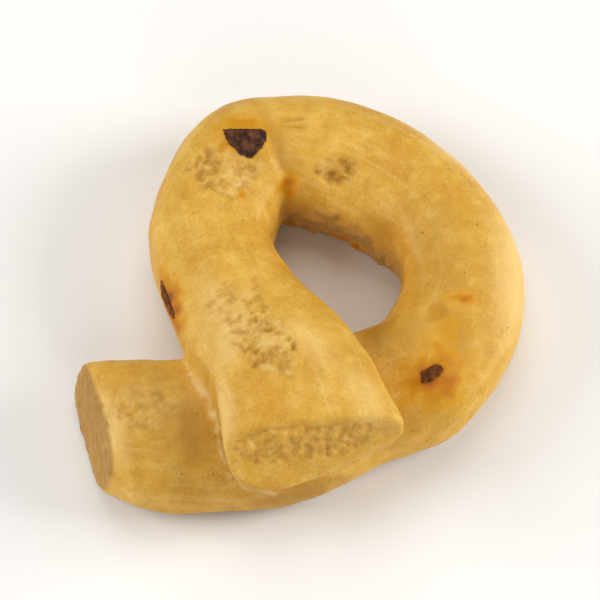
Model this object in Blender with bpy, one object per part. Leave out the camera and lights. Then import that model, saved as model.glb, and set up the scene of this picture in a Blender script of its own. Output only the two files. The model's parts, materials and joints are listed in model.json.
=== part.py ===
"""A tarallo: a hand-rolled rope of dough, looped on itself with its two cut ends crossed, and baked.

It lies on its flat baked base, with the free arm crossing over the lower end towards -Y.
"""

import math

import bmesh
import bpy
from mathutils import Vector, noise

MM = 0.001

# The rope, from its lower end, round the ring, to the tip of the arm that crosses over. Each station gives
# the centre line in plan (x, y), the height of the underside, the width and the thickness, to half a
# millimetre.
ROPE_STATIONS = (
    (-30.5, -20.5, 0.0, 16.0, 11.5),
    (-20.5, -21.5, 0.0, 19.5, 12.0),
    (-9.0, -21.5, 0.0, 18.0, 10.0),
    (2.0, -17.0, 0.0, 17.0, 11.5),
    (11.5, -12.5, 0.0, 16.5, 13.0),
    (16.0, -2.5, 0.0, 16.0, 14.0),
    (13.0, 7.5, 0.0, 15.0, 14.0),
    (2.5, 16.0, 0.0, 16.5, 14.0),
    (-11.0, 17.0, 0.0, 15.5, 14.5),
    (-16.0, 6.5, 0.0, 15.5, 14.5),
    (-12.5, -6.0, 2.5, 16.5, 13.5),
    (-6.5, -17.5, 8.0, 20.0, 11.5),
    (-2.5, -28.0, 10.0, 22.0, 9.5),
)
STEPS_PER_STATION = 8
STEPS_CLEAR_OF_RIM = 5
SECTION_POINTS = 40
DIRECTION_STEP = 0.05

# Shape of the rope's section: a domed top, flatter towards the lower end and the tip, over the given number
# of stations, and a boxier lower half where it sits on the tray.
TOP_FULLNESS = 2.2
END_FULLNESS = (2.8, 3.4)
END_STATIONS = (0.8, 2.6)
BASE_FULLNESS = 3.5
LIFT_TO_ROUND = 3.0 * MM

# The cut ends. lean sets the top of the cut back, yaw turns the cut about the vertical, and twist turns its
# top edge against its bottom edge. rim is the radius of the edge round it.
LOWER_CUT = {"lean": math.radians(16), "yaw": math.radians(-22), "twist": 0.0, "rim": 0.8 * MM}
UPPER_CUT = {"lean": math.radians(19), "yaw": math.radians(-7), "twist": -0.17, "rim": 0.8 * MM}
NO_CUT = {"lean": 0.0, "yaw": 0.0, "twist": 0.0, "rim": 0.0}
RIM_STEPS = 4

# Unevenness of hand rolling and baking: how deep, and over what distance.
ROLLING_DEPTH = 0.42 * MM
ROLLING_LENGTH = 10.0 * MM
DIMPLE_DEPTH = 0.14 * MM
DIMPLE_LENGTH = 3.2 * MM
DIMPLE_SHIFT = Vector((7.0, 3.0, 5.0))

# Charred bits baked into the crust. Each is a flake with its centre, the direction of its long side, and
# its half length and half width, in millimetres.
CHARRED_BITS = (
    ((-11.9, 15.4, 15.2), (1.0, 0.0, 0.0), 3.1, 1.9),
    ((-21.2, -4.9, 11.2), (0.35, -0.93, 0.0), 3.0, 1.1),
    ((11.7, -16.6, 12.8), (0.84, 0.54, 0.0), 2.0, 1.2),
    ((15.6, -5.7, 14.0), (1.0, 0.0, 0.0), 1.3, 0.6),
)
BIT_HEIGHT = 0.42 * MM
BIT_EDGE = (0.8, 1.1)
BIT_RAGGEDNESS = 0.3
BIT_RAG_LENGTH = 1.6 * MM

# Patches where bubbles broke the crust open. Each has its centre, long direction, half length, half width.
PORE_PATCHES = (
    ((-10.0, -12.0, 18.0), (0.42, -0.86, 0.3), 8.8, 4.6),
    ((-14.0, 12.2, 14.2), (1.0, 0.0, 0.0), 4.6, 4.2),
    ((0.8, 14.0, 14.0), (1.0, 0.3, 0.0), 3.2, 2.6),
    ((-25.2, -20.6, 11.8), (1.0, 0.0, 0.0), 4.4, 3.0),
    ((12.4, -7.6, 13.2), (1.0, 0.0, 0.0), 1.3, 1.1),
    ((-3.8, -27.4, 15.9), (1.0, 0.06, 0.0), 9.2, 3.4),
)
PORE_DEPTH = 0.9 * MM
PORE_LENGTH = 1.9 * MM
PORE_THRESHOLD = 0.02
PORE_EDGE = (0.6, 1.1)

# The swelling of the arm's outer side round the charred bit on it: centre, long direction, half length and
# half width.
SWELLING = ((-21.0, -5.0, 10.5), (0.35, -0.93, 0.0), 7.0, 5.0)
SWELLING_HEIGHT = 0.8 * MM

# The fold where the rope turns down into the arm, from the hole outwards and above its foot. The lobe on the
# left steps up over the ring on the right.
FOLD_X = -7.2 * MM
FOLD_BEND = 0.35
FOLD_BEND_Y = 12.0 * MM
FOLD_START_Y = 6.0 * MM
FOLD_FADE_Y = (16.0 * MM, 21.0 * MM)
FOLD_FOOT_Z = 2.0 * MM
FOLD_STEP = 0.4 * MM
FOLD_LIP = 0.45 * MM
FOLD_LIP_REACH = 3.0 * MM
FOLD_SINK = 0.8 * MM
FOLD_SINK_REACH = 2.4 * MM

# How far the strands are pressed together, which fills the narrowest of the gap between them.
PRESSING = 0.7 * MM
FUSING_VOXEL = 0.5 * MM
SOFTENING = 5
BASE_TRIM = 0.55 * MM
TRIANGLES = 10800

CRUST_COLOUR = (0.62, 0.36, 0.085, 1.0)
CRUST_ROUGHNESS = 0.78


def catmull_rom(rows, position):
    """A point of the smooth curve through rows, where position 0 is the first row and 1 the second."""
    last = len(rows) - 1
    index = min(int(position), last - 1)
    t = position - index
    before = rows[max(index - 1, 0)]
    start = rows[index]
    end = rows[index + 1]
    after = rows[min(index + 2, last)]
    return [
        0.5 * (2 * b + (c - a) * t + (2 * a - 5 * b + 4 * c - d) * t**2 + (3 * b - a - 3 * c + d) * t**3)
        for a, b, c, d in zip(before, start, end, after)
    ]


def rope_at(position):
    """Centre, lift, width and thickness of the rope at a position along its stations, in metres."""
    x, y, lift, width, thickness = (value * MM for value in catmull_rom(ROPE_STATIONS, position))
    return Vector((x, y, lift + thickness / 2)), lift, width, thickness


def fade(value, start, end):
    """0 up to start, 1 from end on, and a smooth rise between them."""
    t = min(max((value - start) / (end - start), 0.0), 1.0)
    return t * t * (3 - 2 * t)


def section_point(position, angle, width, thickness, lift):
    """Sideways and upward distance of a point of the rope's section from its centre."""
    above = TOP_FULLNESS
    from_ends = (position, len(ROPE_STATIONS) - 1 - position)
    for fullness, stations, distance in zip(END_FULLNESS, END_STATIONS, from_ends):
        above += (fullness - TOP_FULLNESS) * (1 - fade(distance, 0.0, stations))
    roundness = min(max(lift / LIFT_TO_ROUND, 0.0), 1.0)
    below = BASE_FULLNESS + (TOP_FULLNESS - BASE_FULLNESS) * roundness
    fullness = above if math.sin(angle) >= 0 else below
    side = math.copysign(abs(math.cos(angle)) ** (2 / fullness), math.cos(angle))
    up = math.copysign(abs(math.sin(angle)) ** (2 / fullness), math.sin(angle))
    return side * width / 2, up * thickness / 2


def section(position, inset=0.0, beyond=0.0, cut=NO_CUT, outwards=1):
    """Points of the rope's section, taken in by inset, moved along the rope by beyond and slanted as cut."""
    centre, lift, width, thickness = rope_at(position)
    last = len(ROPE_STATIONS) - 1
    behind = rope_at(max(position - DIRECTION_STEP, 0.0))[0]
    ahead = rope_at(min(position + DIRECTION_STEP, last))[0]
    along = (ahead - behind).normalized()
    sideways = along.cross(Vector((0, 0, 1))).normalized()
    upward = sideways.cross(along)
    points = []
    for step in range(SECTION_POINTS):
        angle = 2 * math.pi * step / SECTION_POINTS
        side, up = section_point(position, angle, width - 2 * inset, thickness - 2 * inset, lift)
        turned = math.tan(cut["yaw"]) + cut["twist"] * up / (thickness / 2)
        slant = side * turned - up * math.tan(cut["lean"])
        points.append(centre + sideways * side + upward * up + along * (beyond + outwards * slant))
    return points


def end_sections(position, outwards, cut):
    """The rounded rim of a cut end, from the rope's side to its flat face. outwards is 1 or -1."""
    rings = []
    for step in range(RIM_STEPS + 1):
        turn = math.pi / 2 * step / RIM_STEPS
        inset = cut["rim"] * (1 - math.cos(turn))
        beyond = outwards * cut["rim"] * (math.sin(turn) - 1)
        rings.append(section(position, inset, beyond, cut, outwards))
    return rings


def rope_sections():
    """Every section of the rope in order, its two cut ends among them."""
    last = len(ROPE_STATIONS) - 1
    count = last * STEPS_PER_STATION
    rings = list(reversed(end_sections(0, -1, LOWER_CUT)))
    for step in range(STEPS_CLEAR_OF_RIM, count - STEPS_CLEAR_OF_RIM + 1):
        rings.append(section(step / STEPS_PER_STATION))
    rings.extend(end_sections(last, 1, UPPER_CUT))
    return rings


def sweep_rope():
    """The rope as one closed tube that still passes through itself where its ends cross."""
    mesh = bmesh.new()
    rings = rope_sections()
    loop = [mesh.verts.new(point) for point in rings[0]]
    edges = [mesh.edges.new((a, b)) for a, b in zip(loop, loop[1:] + loop[:1])]
    mesh.faces.new(loop)
    for ring in rings[1:]:
        grown = bmesh.ops.extrude_edge_only(mesh, edges=edges)["geom"]
        edges = [item for item in grown if isinstance(item, bmesh.types.BMEdge)]
        edges = [edge for edge in edges if all(vert not in loop for vert in edge.verts)]
        partner = {}
        for vert in {vert for edge in edges for vert in edge.verts}:
            neighbours = [edge.other_vert(vert) for edge in vert.link_edges]
            partner[next(other for other in neighbours if other in loop)] = vert
        loop = [partner[vert] for vert in loop]
        for vert, point in zip(loop, ring):
            vert.co = point
    mesh.faces.new(loop)
    bmesh.ops.recalc_face_normals(mesh, faces=mesh.faces)
    return mesh


def to_object(mesh, name):
    """Puts a bmesh into a new object of the scene."""
    data = bpy.data.meshes.new(name)
    mesh.to_mesh(data)
    mesh.free()
    placed = bpy.data.objects.new(name, data)
    bpy.context.scene.collection.objects.link(placed)
    return placed


def apply_modifiers(placed):
    """Replaces an object's mesh by what its modifiers make of it."""
    graph = bpy.context.evaluated_depsgraph_get()
    made = bpy.data.meshes.new_from_object(placed.evaluated_get(graph))
    placed.modifiers.clear()
    placed.data = made


def fuse(placed):
    """Makes one skin of the rope, so that the crossing is a solid join."""
    swell = placed.modifiers.new("press together", "DISPLACE")
    swell.mid_level = 0.0
    swell.strength = PRESSING
    remesh = placed.modifiers.new("fuse the crossing", "REMESH")
    remesh.mode = "VOXEL"
    remesh.voxel_size = FUSING_VOXEL
    shrink = placed.modifiers.new("back to size", "DISPLACE")
    shrink.mid_level = 0.0
    shrink.strength = -PRESSING
    smooth = placed.modifiers.new("soften the join", "SMOOTH")
    smooth.iterations = SOFTENING
    apply_modifiers(placed)


def fill_hollows(placed):
    """Keeps the outer skin alone, so that a hollow sealed at the crossing becomes solid."""
    mesh = bmesh.new()
    mesh.from_mesh(placed.data)
    outermost = max(mesh.verts, key=lambda vert: vert.co.x)
    skin, edge_of_skin = {outermost}, [outermost]
    while edge_of_skin:
        vert = edge_of_skin.pop()
        for edge in vert.link_edges:
            other = edge.other_vert(vert)
            if other not in skin:
                skin.add(other)
                edge_of_skin.append(other)
    bmesh.ops.delete(mesh, geom=[vert for vert in mesh.verts if vert not in skin], context="VERTS")
    mesh.to_mesh(placed.data)
    mesh.free()


def patch_distance(point, centre, direction, half_length, half_width):
    """How far a point is from the middle of a long patch, where 1 is the patch's edge."""
    offset = point - Vector(centre) * MM
    axis = Vector(direction).normalized()
    along = offset.dot(axis)
    across = (offset - axis * along).length
    return math.hypot(along / (half_length * MM), across / (half_width * MM))


def bit_relief(point):
    """The charred bits stand out from the crust, with ragged edges."""
    height = 0.0
    for bit in CHARRED_BITS:
        ragged = patch_distance(point, *bit) + BIT_RAGGEDNESS * noise.noise(point / BIT_RAG_LENGTH)
        height = max(height, BIT_HEIGHT * (1 - fade(ragged, *BIT_EDGE)))
    return height


def pore_relief(point):
    """Pits in the patches where bubbles broke through."""
    depth = 0.0
    for patch in PORE_PATCHES:
        inside = 1 - fade(patch_distance(point, *patch), *PORE_EDGE)
        pit = max(noise.noise(point / PORE_LENGTH) - PORE_THRESHOLD, 0.0)
        depth = max(depth, PORE_DEPTH * pit * inside)
    return -depth


def swelling_relief(point):
    """The swelling of the arm's outer side."""
    return SWELLING_HEIGHT * (1 - fade(patch_distance(point, *SWELLING), 0.0, 1.0))


def fold_relief(point):
    """The step of the fold across the rope where it turns down into the arm."""
    if point.y < FOLD_START_Y or point.z < FOLD_FOOT_Z:
        return 0.0
    off_line = point.x - FOLD_X + FOLD_BEND * max(point.y - FOLD_BEND_Y, 0.0)
    strength = 1 - fade(point.y, *FOLD_FADE_Y)
    step = -math.tanh(off_line / FOLD_STEP)
    if off_line < 0:
        return strength * step * FOLD_LIP * math.exp(off_line / FOLD_LIP_REACH)
    return strength * step * FOLD_SINK * math.exp(-off_line / FOLD_SINK_REACH)


def unevenness(point):
    """How far the crust stands out from the even rope at a point."""
    rolling = ROLLING_DEPTH * noise.noise(point / ROLLING_LENGTH)
    dimples = DIMPLE_DEPTH * noise.noise(point / DIMPLE_LENGTH + DIMPLE_SHIFT)
    spots = bit_relief(point) + pore_relief(point)
    return rolling + dimples + spots + swelling_relief(point) + fold_relief(point)


def roughen(placed):
    """Moves the crust in and out along its normals."""
    mesh = bmesh.new()
    mesh.from_mesh(placed.data)
    mesh.normal_update()
    moves = [(vert, vert.normal * unevenness(vert.co)) for vert in mesh.verts]
    for vert, move in moves:
        vert.co += move
    mesh.to_mesh(placed.data)
    mesh.free()


def thin_out(placed):
    """Keeps the number of faces near TRIANGLES."""
    placed.data.calc_loop_triangles()
    decimate = placed.modifiers.new("thin out", "DECIMATE")
    decimate.ratio = TRIANGLES / len(placed.data.loop_triangles)
    apply_modifiers(placed)


def flatten_base(placed):
    """Lowers the rope by what the tray flattens, and centres it over the origin."""
    points = [vert.co for vert in placed.data.vertices]
    lowest = min(point.z for point in points)
    middle_x = (min(point.x for point in points) + max(point.x for point in points)) / 2
    middle_y = (min(point.y for point in points) + max(point.y for point in points)) / 2
    for vert in placed.data.vertices:
        height = vert.co.z - lowest - BASE_TRIM
        vert.co = Vector((vert.co.x - middle_x, vert.co.y - middle_y, max(height, 0.0)))


def crust_material():
    """Baked dough, golden and dry."""
    material = bpy.data.materials.new("baked_dough")
    material.use_nodes = True
    shader = material.node_tree.nodes["Principled BSDF"]
    shader.inputs["Base Color"].default_value = CRUST_COLOUR
    shader.inputs["Roughness"].default_value = CRUST_ROUGHNESS
    shader.inputs["Metallic"].default_value = 0.0
    return material


def build_tarallo():
    """The whole tarallo, one solid."""
    tarallo = to_object(sweep_rope(), "tarallo")
    fuse(tarallo)
    fill_hollows(tarallo)
    roughen(tarallo)
    thin_out(tarallo)
    flatten_base(tarallo)
    tarallo.data.shade_smooth()
    tarallo.data.materials.append(crust_material())
    return tarallo


def main():
    """Clears the scene and builds the tarallo in it."""
    for old in list(bpy.data.objects):
        bpy.data.objects.remove(old)
    build_tarallo()


main()
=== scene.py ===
"""The looks of a tarallo: a rope of durum dough rolled by hand, looped on itself with its two cut ends
crossed, and baked golden, with scorched flakes of its seasoning in the crust.

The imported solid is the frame. The dough is modelled again, as one fine skin over the same rope at the same
place, and stands for that solid. The flakes are pieces of their own, pressed into the skin. Sizes are in
millimetres and in the rope's own axes, which are those of the photograph: x to the right, y away, z up. The
studio is laid out in metres.
"""

import json
import logging
import math
from collections.abc import Iterator
from contextlib import contextmanager
from dataclasses import dataclass, field
from enum import Enum

import bmesh
import bpy
from mathutils import Matrix, Vector, noise
from mathutils.kdtree import KDTree

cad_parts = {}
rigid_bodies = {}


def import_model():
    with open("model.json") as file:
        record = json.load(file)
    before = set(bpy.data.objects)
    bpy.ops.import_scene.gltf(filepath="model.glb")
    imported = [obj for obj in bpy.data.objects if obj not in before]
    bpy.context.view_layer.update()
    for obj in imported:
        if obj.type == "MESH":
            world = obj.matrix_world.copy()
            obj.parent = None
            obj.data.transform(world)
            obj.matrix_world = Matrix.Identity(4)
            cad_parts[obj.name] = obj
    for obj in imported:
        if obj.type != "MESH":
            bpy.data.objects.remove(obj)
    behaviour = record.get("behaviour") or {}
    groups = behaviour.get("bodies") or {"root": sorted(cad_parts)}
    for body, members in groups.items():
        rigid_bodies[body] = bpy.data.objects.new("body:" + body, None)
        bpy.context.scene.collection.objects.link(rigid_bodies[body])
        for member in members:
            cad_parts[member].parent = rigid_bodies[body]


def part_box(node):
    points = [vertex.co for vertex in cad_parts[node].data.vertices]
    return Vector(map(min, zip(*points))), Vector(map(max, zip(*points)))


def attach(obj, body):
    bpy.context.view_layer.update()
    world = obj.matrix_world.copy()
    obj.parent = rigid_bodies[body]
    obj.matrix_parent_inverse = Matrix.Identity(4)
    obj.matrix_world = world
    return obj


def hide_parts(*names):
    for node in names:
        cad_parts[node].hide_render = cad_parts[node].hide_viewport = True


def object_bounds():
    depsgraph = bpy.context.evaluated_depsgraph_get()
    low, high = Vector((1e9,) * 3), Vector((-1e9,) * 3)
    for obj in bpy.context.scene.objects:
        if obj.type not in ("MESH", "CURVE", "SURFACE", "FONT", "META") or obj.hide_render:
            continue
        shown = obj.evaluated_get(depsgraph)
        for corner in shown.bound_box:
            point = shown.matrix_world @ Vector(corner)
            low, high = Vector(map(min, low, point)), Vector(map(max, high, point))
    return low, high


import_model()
CAD_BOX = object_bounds()

LOG = logging.getLogger("tarallo")
SOLID = "tarallo"
BODY = "root"
MM = 0.001
UP = Vector((0.0, 0.0, 1.0))
# The number of a point in its section of the rope, which is kept while the rope is extruded.
PLACE_IN_RING = "place_in_ring"

# Sockets of the Mix node when it mixes colours.
MIX_FACTOR = 0
MIX_A = 6
MIX_B = 7
MIX_RESULT = 2

Triple = tuple[float, float, float]


class Mark(Enum):
    """What the dough's skin records at each point, as attributes that its finish reads."""

    # Toast where the crust sat on the tray, and painted shade on faces turned down and at the arc's foot.
    TOAST_AND_SHADE = "toast_and_shade"
    # Darker crust: a deeper-baked tone and painted shade.
    DEEPER_AND_SHADE = "baked_deeper_and_shade"
    # Paler crust: a paler-baked tone and painted highlight.
    PALER_AND_HIGHLIGHT = "baked_paler_and_highlight"
    PIT = "pit"
    OPEN = "open_patch"
    STAIN = "stain"
    CRUMB = "crumb"
    CUT = "lower_cut"
    TORN = "torn_edge"
    ROPE = "along_rope"


class Scorch(Enum):
    """How far a flake of the seasoning has burnt."""

    CHARRED = "charred"
    BROWNED = "browned"


def fade(value: float, start: float, end: float) -> float:
    """Rises smoothly from 0 to 1.

    Args:
        value: What is measured.
        start: The value up to which the result is 0.
        end: The value from which the result is 1.

    Returns:
        A number from 0 to 1.
    """
    t = min(max((value - start) / (end - start), 0.0), 1.0)
    return t * t * (3 - 2 * t)


def pattern_scale(size_mm: float, millimetre: float = MM) -> float:
    """The scale of a pattern whose features are size_mm across, where a millimetre is that long."""
    return 1 / (size_mm * millimetre)


def linear(colour: str) -> tuple[float, float, float, float]:
    """Turns an sRGB hex colour to linear light, by the sRGB curve.

    Args:
        colour: A colour such as "#DCAB4C".

    Returns:
        Red, green, blue and alpha.
    """
    channels = [int(colour[i : i + 2], 16) / 255 for i in (1, 3, 5)]
    red, green, blue = (c / 12.92 if c <= 0.04045 else ((c + 0.055) / 1.055) ** 2.4 for c in channels)
    return red, green, blue, 1.0


def add_node(
    tree: bpy.types.NodeTree, kind: str, inputs: dict[str | int, object], **settings: object
) -> bpy.types.Node:
    """Adds a node with its settings, values and links.

    Args:
        tree: The node tree that it goes into.
        kind: Blender's name for the type of node.
        inputs: For each input, a value or the output socket that feeds it.
        **settings: Properties of the node itself.

    Returns:
        The node.
    """
    node = tree.nodes.new(kind)
    for name, value in settings.items():
        setattr(node, name, value)
    for key, value in inputs.items():
        if isinstance(value, bpy.types.NodeSocket):
            tree.links.new(value, node.inputs[key])
        else:
            node.inputs[key].default_value = value
    return node


def new_material(name: str) -> tuple[bpy.types.Material, bpy.types.NodeTree, bpy.types.Node]:
    """Makes a material with nodes.

    Args:
        name: What the material is called.

    Returns:
        The material, its node tree and its shader.
    """
    material = bpy.data.materials.new(name)
    material.use_nodes = True
    return material, material.node_tree, material.node_tree.nodes["Principled BSDF"]


def pick(piece: bpy.types.Object) -> None:
    """Makes a piece the only selected object and the active one.

    Args:
        piece: The object.
    """
    bpy.ops.object.select_all(action="DESELECT")
    piece.select_set(True)
    bpy.context.view_layer.objects.active = piece


@contextmanager
def editing(piece: bpy.types.Object) -> Iterator[None]:
    """Holds a piece in edit mode.

    Args:
        piece: The object to edit.

    Returns:
        A context with the piece in edit mode and nothing of it selected.
    """
    pick(piece)
    bpy.ops.object.mode_set(mode="EDIT")
    bpy.ops.mesh.select_all(action="DESELECT")
    yield
    bpy.ops.object.mode_set(mode="OBJECT")


def finish_with(piece: bpy.types.Object, kind: str, **settings: object) -> None:
    """Adds a modifier to a piece and applies it.

    Args:
        piece: The object.
        kind: Blender's name for the type of modifier.
        **settings: Properties of the modifier.
    """
    pick(piece)
    modifier = piece.modifiers.new(kind.lower(), kind)
    for name, value in settings.items():
        setattr(modifier, name, value)
    bpy.ops.object.modifier_apply(modifier=modifier.name)


@dataclass(frozen=True)
class Station:
    """The rope's centre line in plan, the height of its underside, and its width and thickness there."""

    x: float
    y: float
    lift: float
    width: float
    thickness: float


@dataclass(frozen=True)
class Cut:
    """A cut end. Its lean sets its top back and its yaw turns it about the vertical, in degrees. Its twist
    turns the top edge against the bottom edge, and its rim is the radius of the edge round it."""

    lean: float = 0.0
    yaw: float = 0.0
    twist: float = 0.0
    rim: float = 0.0


@dataclass(frozen=True)
class Patch:
    """A long spot on the crust: its centre, the direction of its long side, and its half length and width.
    Its outline is an ellipse at squareness 2, and closer to a rectangle above that."""

    centre: Triple
    direction: Triple
    half_length: float
    half_width: float
    strength: float = 1.0
    squareness: float = 2.0

    def distance(self, point: Vector) -> float:
        """How far a point is from the patch's middle.

        Args:
            point: A point of the crust.

        Returns:
            0 in the middle, 1 on the edge, and more outside.
        """
        offset = point - Vector(self.centre)
        axis = Vector(self.direction).normalized()
        along = offset.dot(axis)
        across = (offset - axis * along).length
        power = self.squareness
        return (abs(along / self.half_length) ** power + (across / self.half_width) ** power) ** (1 / power)

    def share(self, point: Vector, edge: tuple[float, float], ragged: float = 0.0) -> float:
        """How far a point belongs to the patch.

        Args:
            point: A point of the crust.
            edge: The distances from the middle between which the patch fades out.
            ragged: What is added to the point's own distance, to break up the outline.

        Returns:
            The patch's strength inside it, falling to 0 outside.
        """
        return self.strength * (1 - fade(self.distance(point) + ragged, *edge))


@dataclass(frozen=True)
class Wrinkle:
    """A thin line on the crust, from start to end."""

    start: Triple
    end: Triple
    width: float

    def closeness(self, point: Vector) -> float:
        """How close a point is to the line.

        Args:
            point: A point of the crust.

        Returns:
            1 on the line, falling to 0 away from it.
        """
        start = Vector(self.start)
        run = Vector(self.end) - start
        share = min(max((point - start).dot(run) / run.length_squared, 0.0), 1.0)
        off_line = (point - start - run * share).length / self.width
        return math.exp(-off_line * off_line)


@dataclass(frozen=True)
class RopeForm:
    """The rope from its lower cut end, round the ring, to the tip of the arm that crosses over it."""

    stations: tuple[Station, ...] = (
        Station(-30.5, -20.5, 0.0, 16.0, 11.5),
        Station(-20.5, -21.5, 0.0, 19.5, 12.0),
        Station(-9.0, -21.5, 0.0, 18.0, 10.0),
        Station(2.0, -17.0, 0.0, 17.0, 11.5),
        Station(11.5, -12.5, 0.0, 16.5, 13.0),
        Station(16.0, -2.5, 0.0, 16.0, 14.0),
        Station(13.0, 7.5, 0.0, 15.0, 14.0),
        Station(2.5, 16.0, 0.0, 16.5, 14.0),
        Station(-11.0, 17.0, 0.0, 15.5, 14.5),
        Station(-16.0, 6.5, 0.0, 15.5, 14.5),
        Station(-12.5, -6.0, 2.5, 16.5, 13.5),
        Station(-6.5, -17.5, 8.0, 20.0, 11.5),
        Station(-2.5, -28.0, 10.0, 22.0, 9.5),
    )
    lower_cut: Cut = Cut(lean=16, yaw=-22, rim=1.2)
    upper_cut: Cut = Cut(lean=19, yaw=-7, twist=-0.17, rim=0.8)
    steps_per_station: int = 12
    steps_clear_of_rim: int = 8
    rim_steps: int = 6
    points_round: int = 64
    direction_step: float = 0.05
    top_fullness: float = 2.2
    end_fullness: tuple[float, float] = (2.8, 3.4)
    end_stations: tuple[float, float] = (0.8, 2.6)
    base_fullness: float = 3.5
    lift_to_round: float = 3.0

    def at(self, position: float) -> tuple[Vector, float, float, float]:
        """The smooth curve through the stations, a Catmull-Rom spline.

        Args:
            position: Where on the rope, in stations from its lower end.

        Returns:
            The centre, the lift, the width and the thickness there.
        """
        last = len(self.stations) - 1
        index = min(int(position), last - 1)
        t = position - index
        before, start, end, after = (
            self.stations[min(max(number, 0), last)] for number in range(index - 1, index + 3)
        )
        x, y, lift, width, thickness = (
            (2 * b + (c - a) * t + (2 * a - 5 * b + 4 * c - d) * t**2 + (3 * b - a - 3 * c + d) * t**3) / 2
            for a, b, c, d in (
                (getattr(before, name), getattr(start, name), getattr(end, name), getattr(after, name))
                for name in ("x", "y", "lift", "width", "thickness")
            )
        )
        return Vector((x, y, lift + thickness / 2)), lift, width, thickness

    def axes(self, position: float) -> tuple[Vector, Vector, Vector]:
        """The rope's directions at a position.

        Args:
            position: Where on the rope, in stations.

        Returns:
            Unit vectors along the rope, sideways and upward.
        """
        last = len(self.stations) - 1
        behind = self.at(max(position - self.direction_step, 0.0))[0]
        ahead = self.at(min(position + self.direction_step, last))[0]
        along = (ahead - behind).normalized()
        sideways = along.cross(UP).normalized()
        return along, sideways, sideways.cross(along)

    def outline_point(
        self, position: float, angle: float, width: float, thickness: float, lift: float
    ) -> tuple[float, float]:
        """A point of the rope's section: domed above, flatter towards the cut ends, and boxier below where
        it sits on the tray.

        Args:
            position: Where on the rope, in stations.
            angle: Turn from the sideways direction, in radians.
            width: The section's width.
            thickness: The section's thickness.
            lift: How far the rope is off the tray, which rounds its lower half.

        Returns:
            The sideways and upward distance from the centre.
        """
        above = self.top_fullness
        from_ends = (position, len(self.stations) - 1 - position)
        for fullness, stations, distance in zip(self.end_fullness, self.end_stations, from_ends):
            above += (fullness - self.top_fullness) * (1 - fade(distance, 0.0, stations))
        roundness = min(max(lift / self.lift_to_round, 0.0), 1.0)
        below = self.base_fullness + (self.top_fullness - self.base_fullness) * roundness
        fullness = above if math.sin(angle) >= 0 else below
        side = math.copysign(abs(math.cos(angle)) ** (2 / fullness), math.cos(angle))
        up = math.copysign(abs(math.sin(angle)) ** (2 / fullness), math.sin(angle))
        return side * width / 2, up * thickness / 2

    def section(
        self, position: float, inset: float = 0.0, beyond: float = 0.0, cut: Cut = Cut(), outwards: int = 1
    ) -> list[Vector]:
        """One section of the rope.

        Args:
            position: Where on the rope, in stations.
            inset: How far the outline is taken in.
            beyond: How far the section is moved along the rope.
            cut: The cut whose slant the section has.
            outwards: 1 where the cut faces along the rope, and -1 where it faces back.

        Returns:
            The points of the section, in order round it.
        """
        centre, lift, width, thickness = self.at(position)
        along, sideways, upward = self.axes(position)
        points = []
        for step in range(self.points_round):
            angle = 2 * math.pi * step / self.points_round
            side, up = self.outline_point(position, angle, width - 2 * inset, thickness - 2 * inset, lift)
            turned = math.tan(math.radians(cut.yaw)) + cut.twist * up / (thickness / 2)
            slant = side * turned - up * math.tan(math.radians(cut.lean))
            points.append(centre + sideways * side + upward * up + along * (beyond + outwards * slant))
        return points

    def end_rings(self, position: float, outwards: int, cut: Cut) -> list[list[Vector]]:
        """The rounded rim of a cut end.

        Args:
            position: Where the end is, in stations.
            outwards: 1 where the cut faces along the rope, and -1 where it faces back.
            cut: The cut.

        Returns:
            Sections from the rope's side to the cut's flat face.
        """
        rings = []
        for step in range(self.rim_steps + 1):
            turn = math.pi / 2 * step / self.rim_steps
            inset = cut.rim * (1 - math.cos(turn))
            beyond = outwards * cut.rim * (math.sin(turn) - 1)
            rings.append(self.section(position, inset, beyond, cut, outwards))
        return rings

    def rings(self) -> list[list[Vector]]:
        """Lays out the sections that the rope's skin runs over.

        Returns:
            Every section in order, those of the two cut ends among them.
        """
        last = len(self.stations) - 1
        count = last * self.steps_per_station
        rings = list(reversed(self.end_rings(0, -1, self.lower_cut)))
        for step in range(self.steps_clear_of_rim, count - self.steps_clear_of_rim + 1):
            rings.append(self.section(step / self.steps_per_station))
        rings.extend(self.end_rings(last, 1, self.upper_cut))
        return rings


@dataclass(frozen=True)
class Flake:
    """A flake of the seasoning: where it lies on the crust, how it is turned, and its corners, along and
    across, in order round it."""

    centre: Triple
    direction: Triple
    corners: tuple[tuple[float, float], ...]
    thickness: float
    scorch: Scorch
    ragged: float = 0.1


FLAKES = (
    Flake(
        centre=(-11.4, 15.4, 15.2),
        direction=(1.0, -0.02, 0.0),
        corners=((-3.1, 1.9), (-2.5, 0.1), (-0.8, -1.7), (0.7, -2.1), (1.9, -0.8), (2.5, 0.6), (2.3, 1.8)),
        thickness=0.35,
        scorch=Scorch.CHARRED,
    ),
    Flake(
        centre=(-21.2, -5.6, 11.7),
        direction=(0.35, -0.93, 0.05),
        corners=((-3.2, 0.0), (-1.8, -0.5), (0.2, -0.6), (2.0, -0.4), (3.4, 0.0), (2.0, 0.5), (-1.4, 0.5)),
        thickness=0.35,
        scorch=Scorch.BROWNED,
        ragged=0.25,
    ),
    Flake(
        centre=(11.6, -16.6, 12.8),
        direction=(0.84, 0.54, 0.0),
        corners=((-1.6, -0.2), (-0.9, -0.8), (0.2, -0.7), (1.3, -0.6), (1.7, 0.2), (0.8, 0.8), (-0.7, 0.8)),
        thickness=0.35,
        scorch=Scorch.BROWNED,
        ragged=0.4,
    ),
)

# The crust that swells a little round each flake.
FLAKE_BEDS = (
    Patch((-11.2, 15.5, 15.2), (1.0, -0.02, 0.0), 3.2, 2.1),
    Patch((-21.2, -5.6, 11.5), (0.35, -0.93, 0.05), 3.2, 0.9),
    Patch((11.7, -16.5, 12.8), (0.84, 0.54, 0.0), 2.5, 1.4),
)

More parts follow.
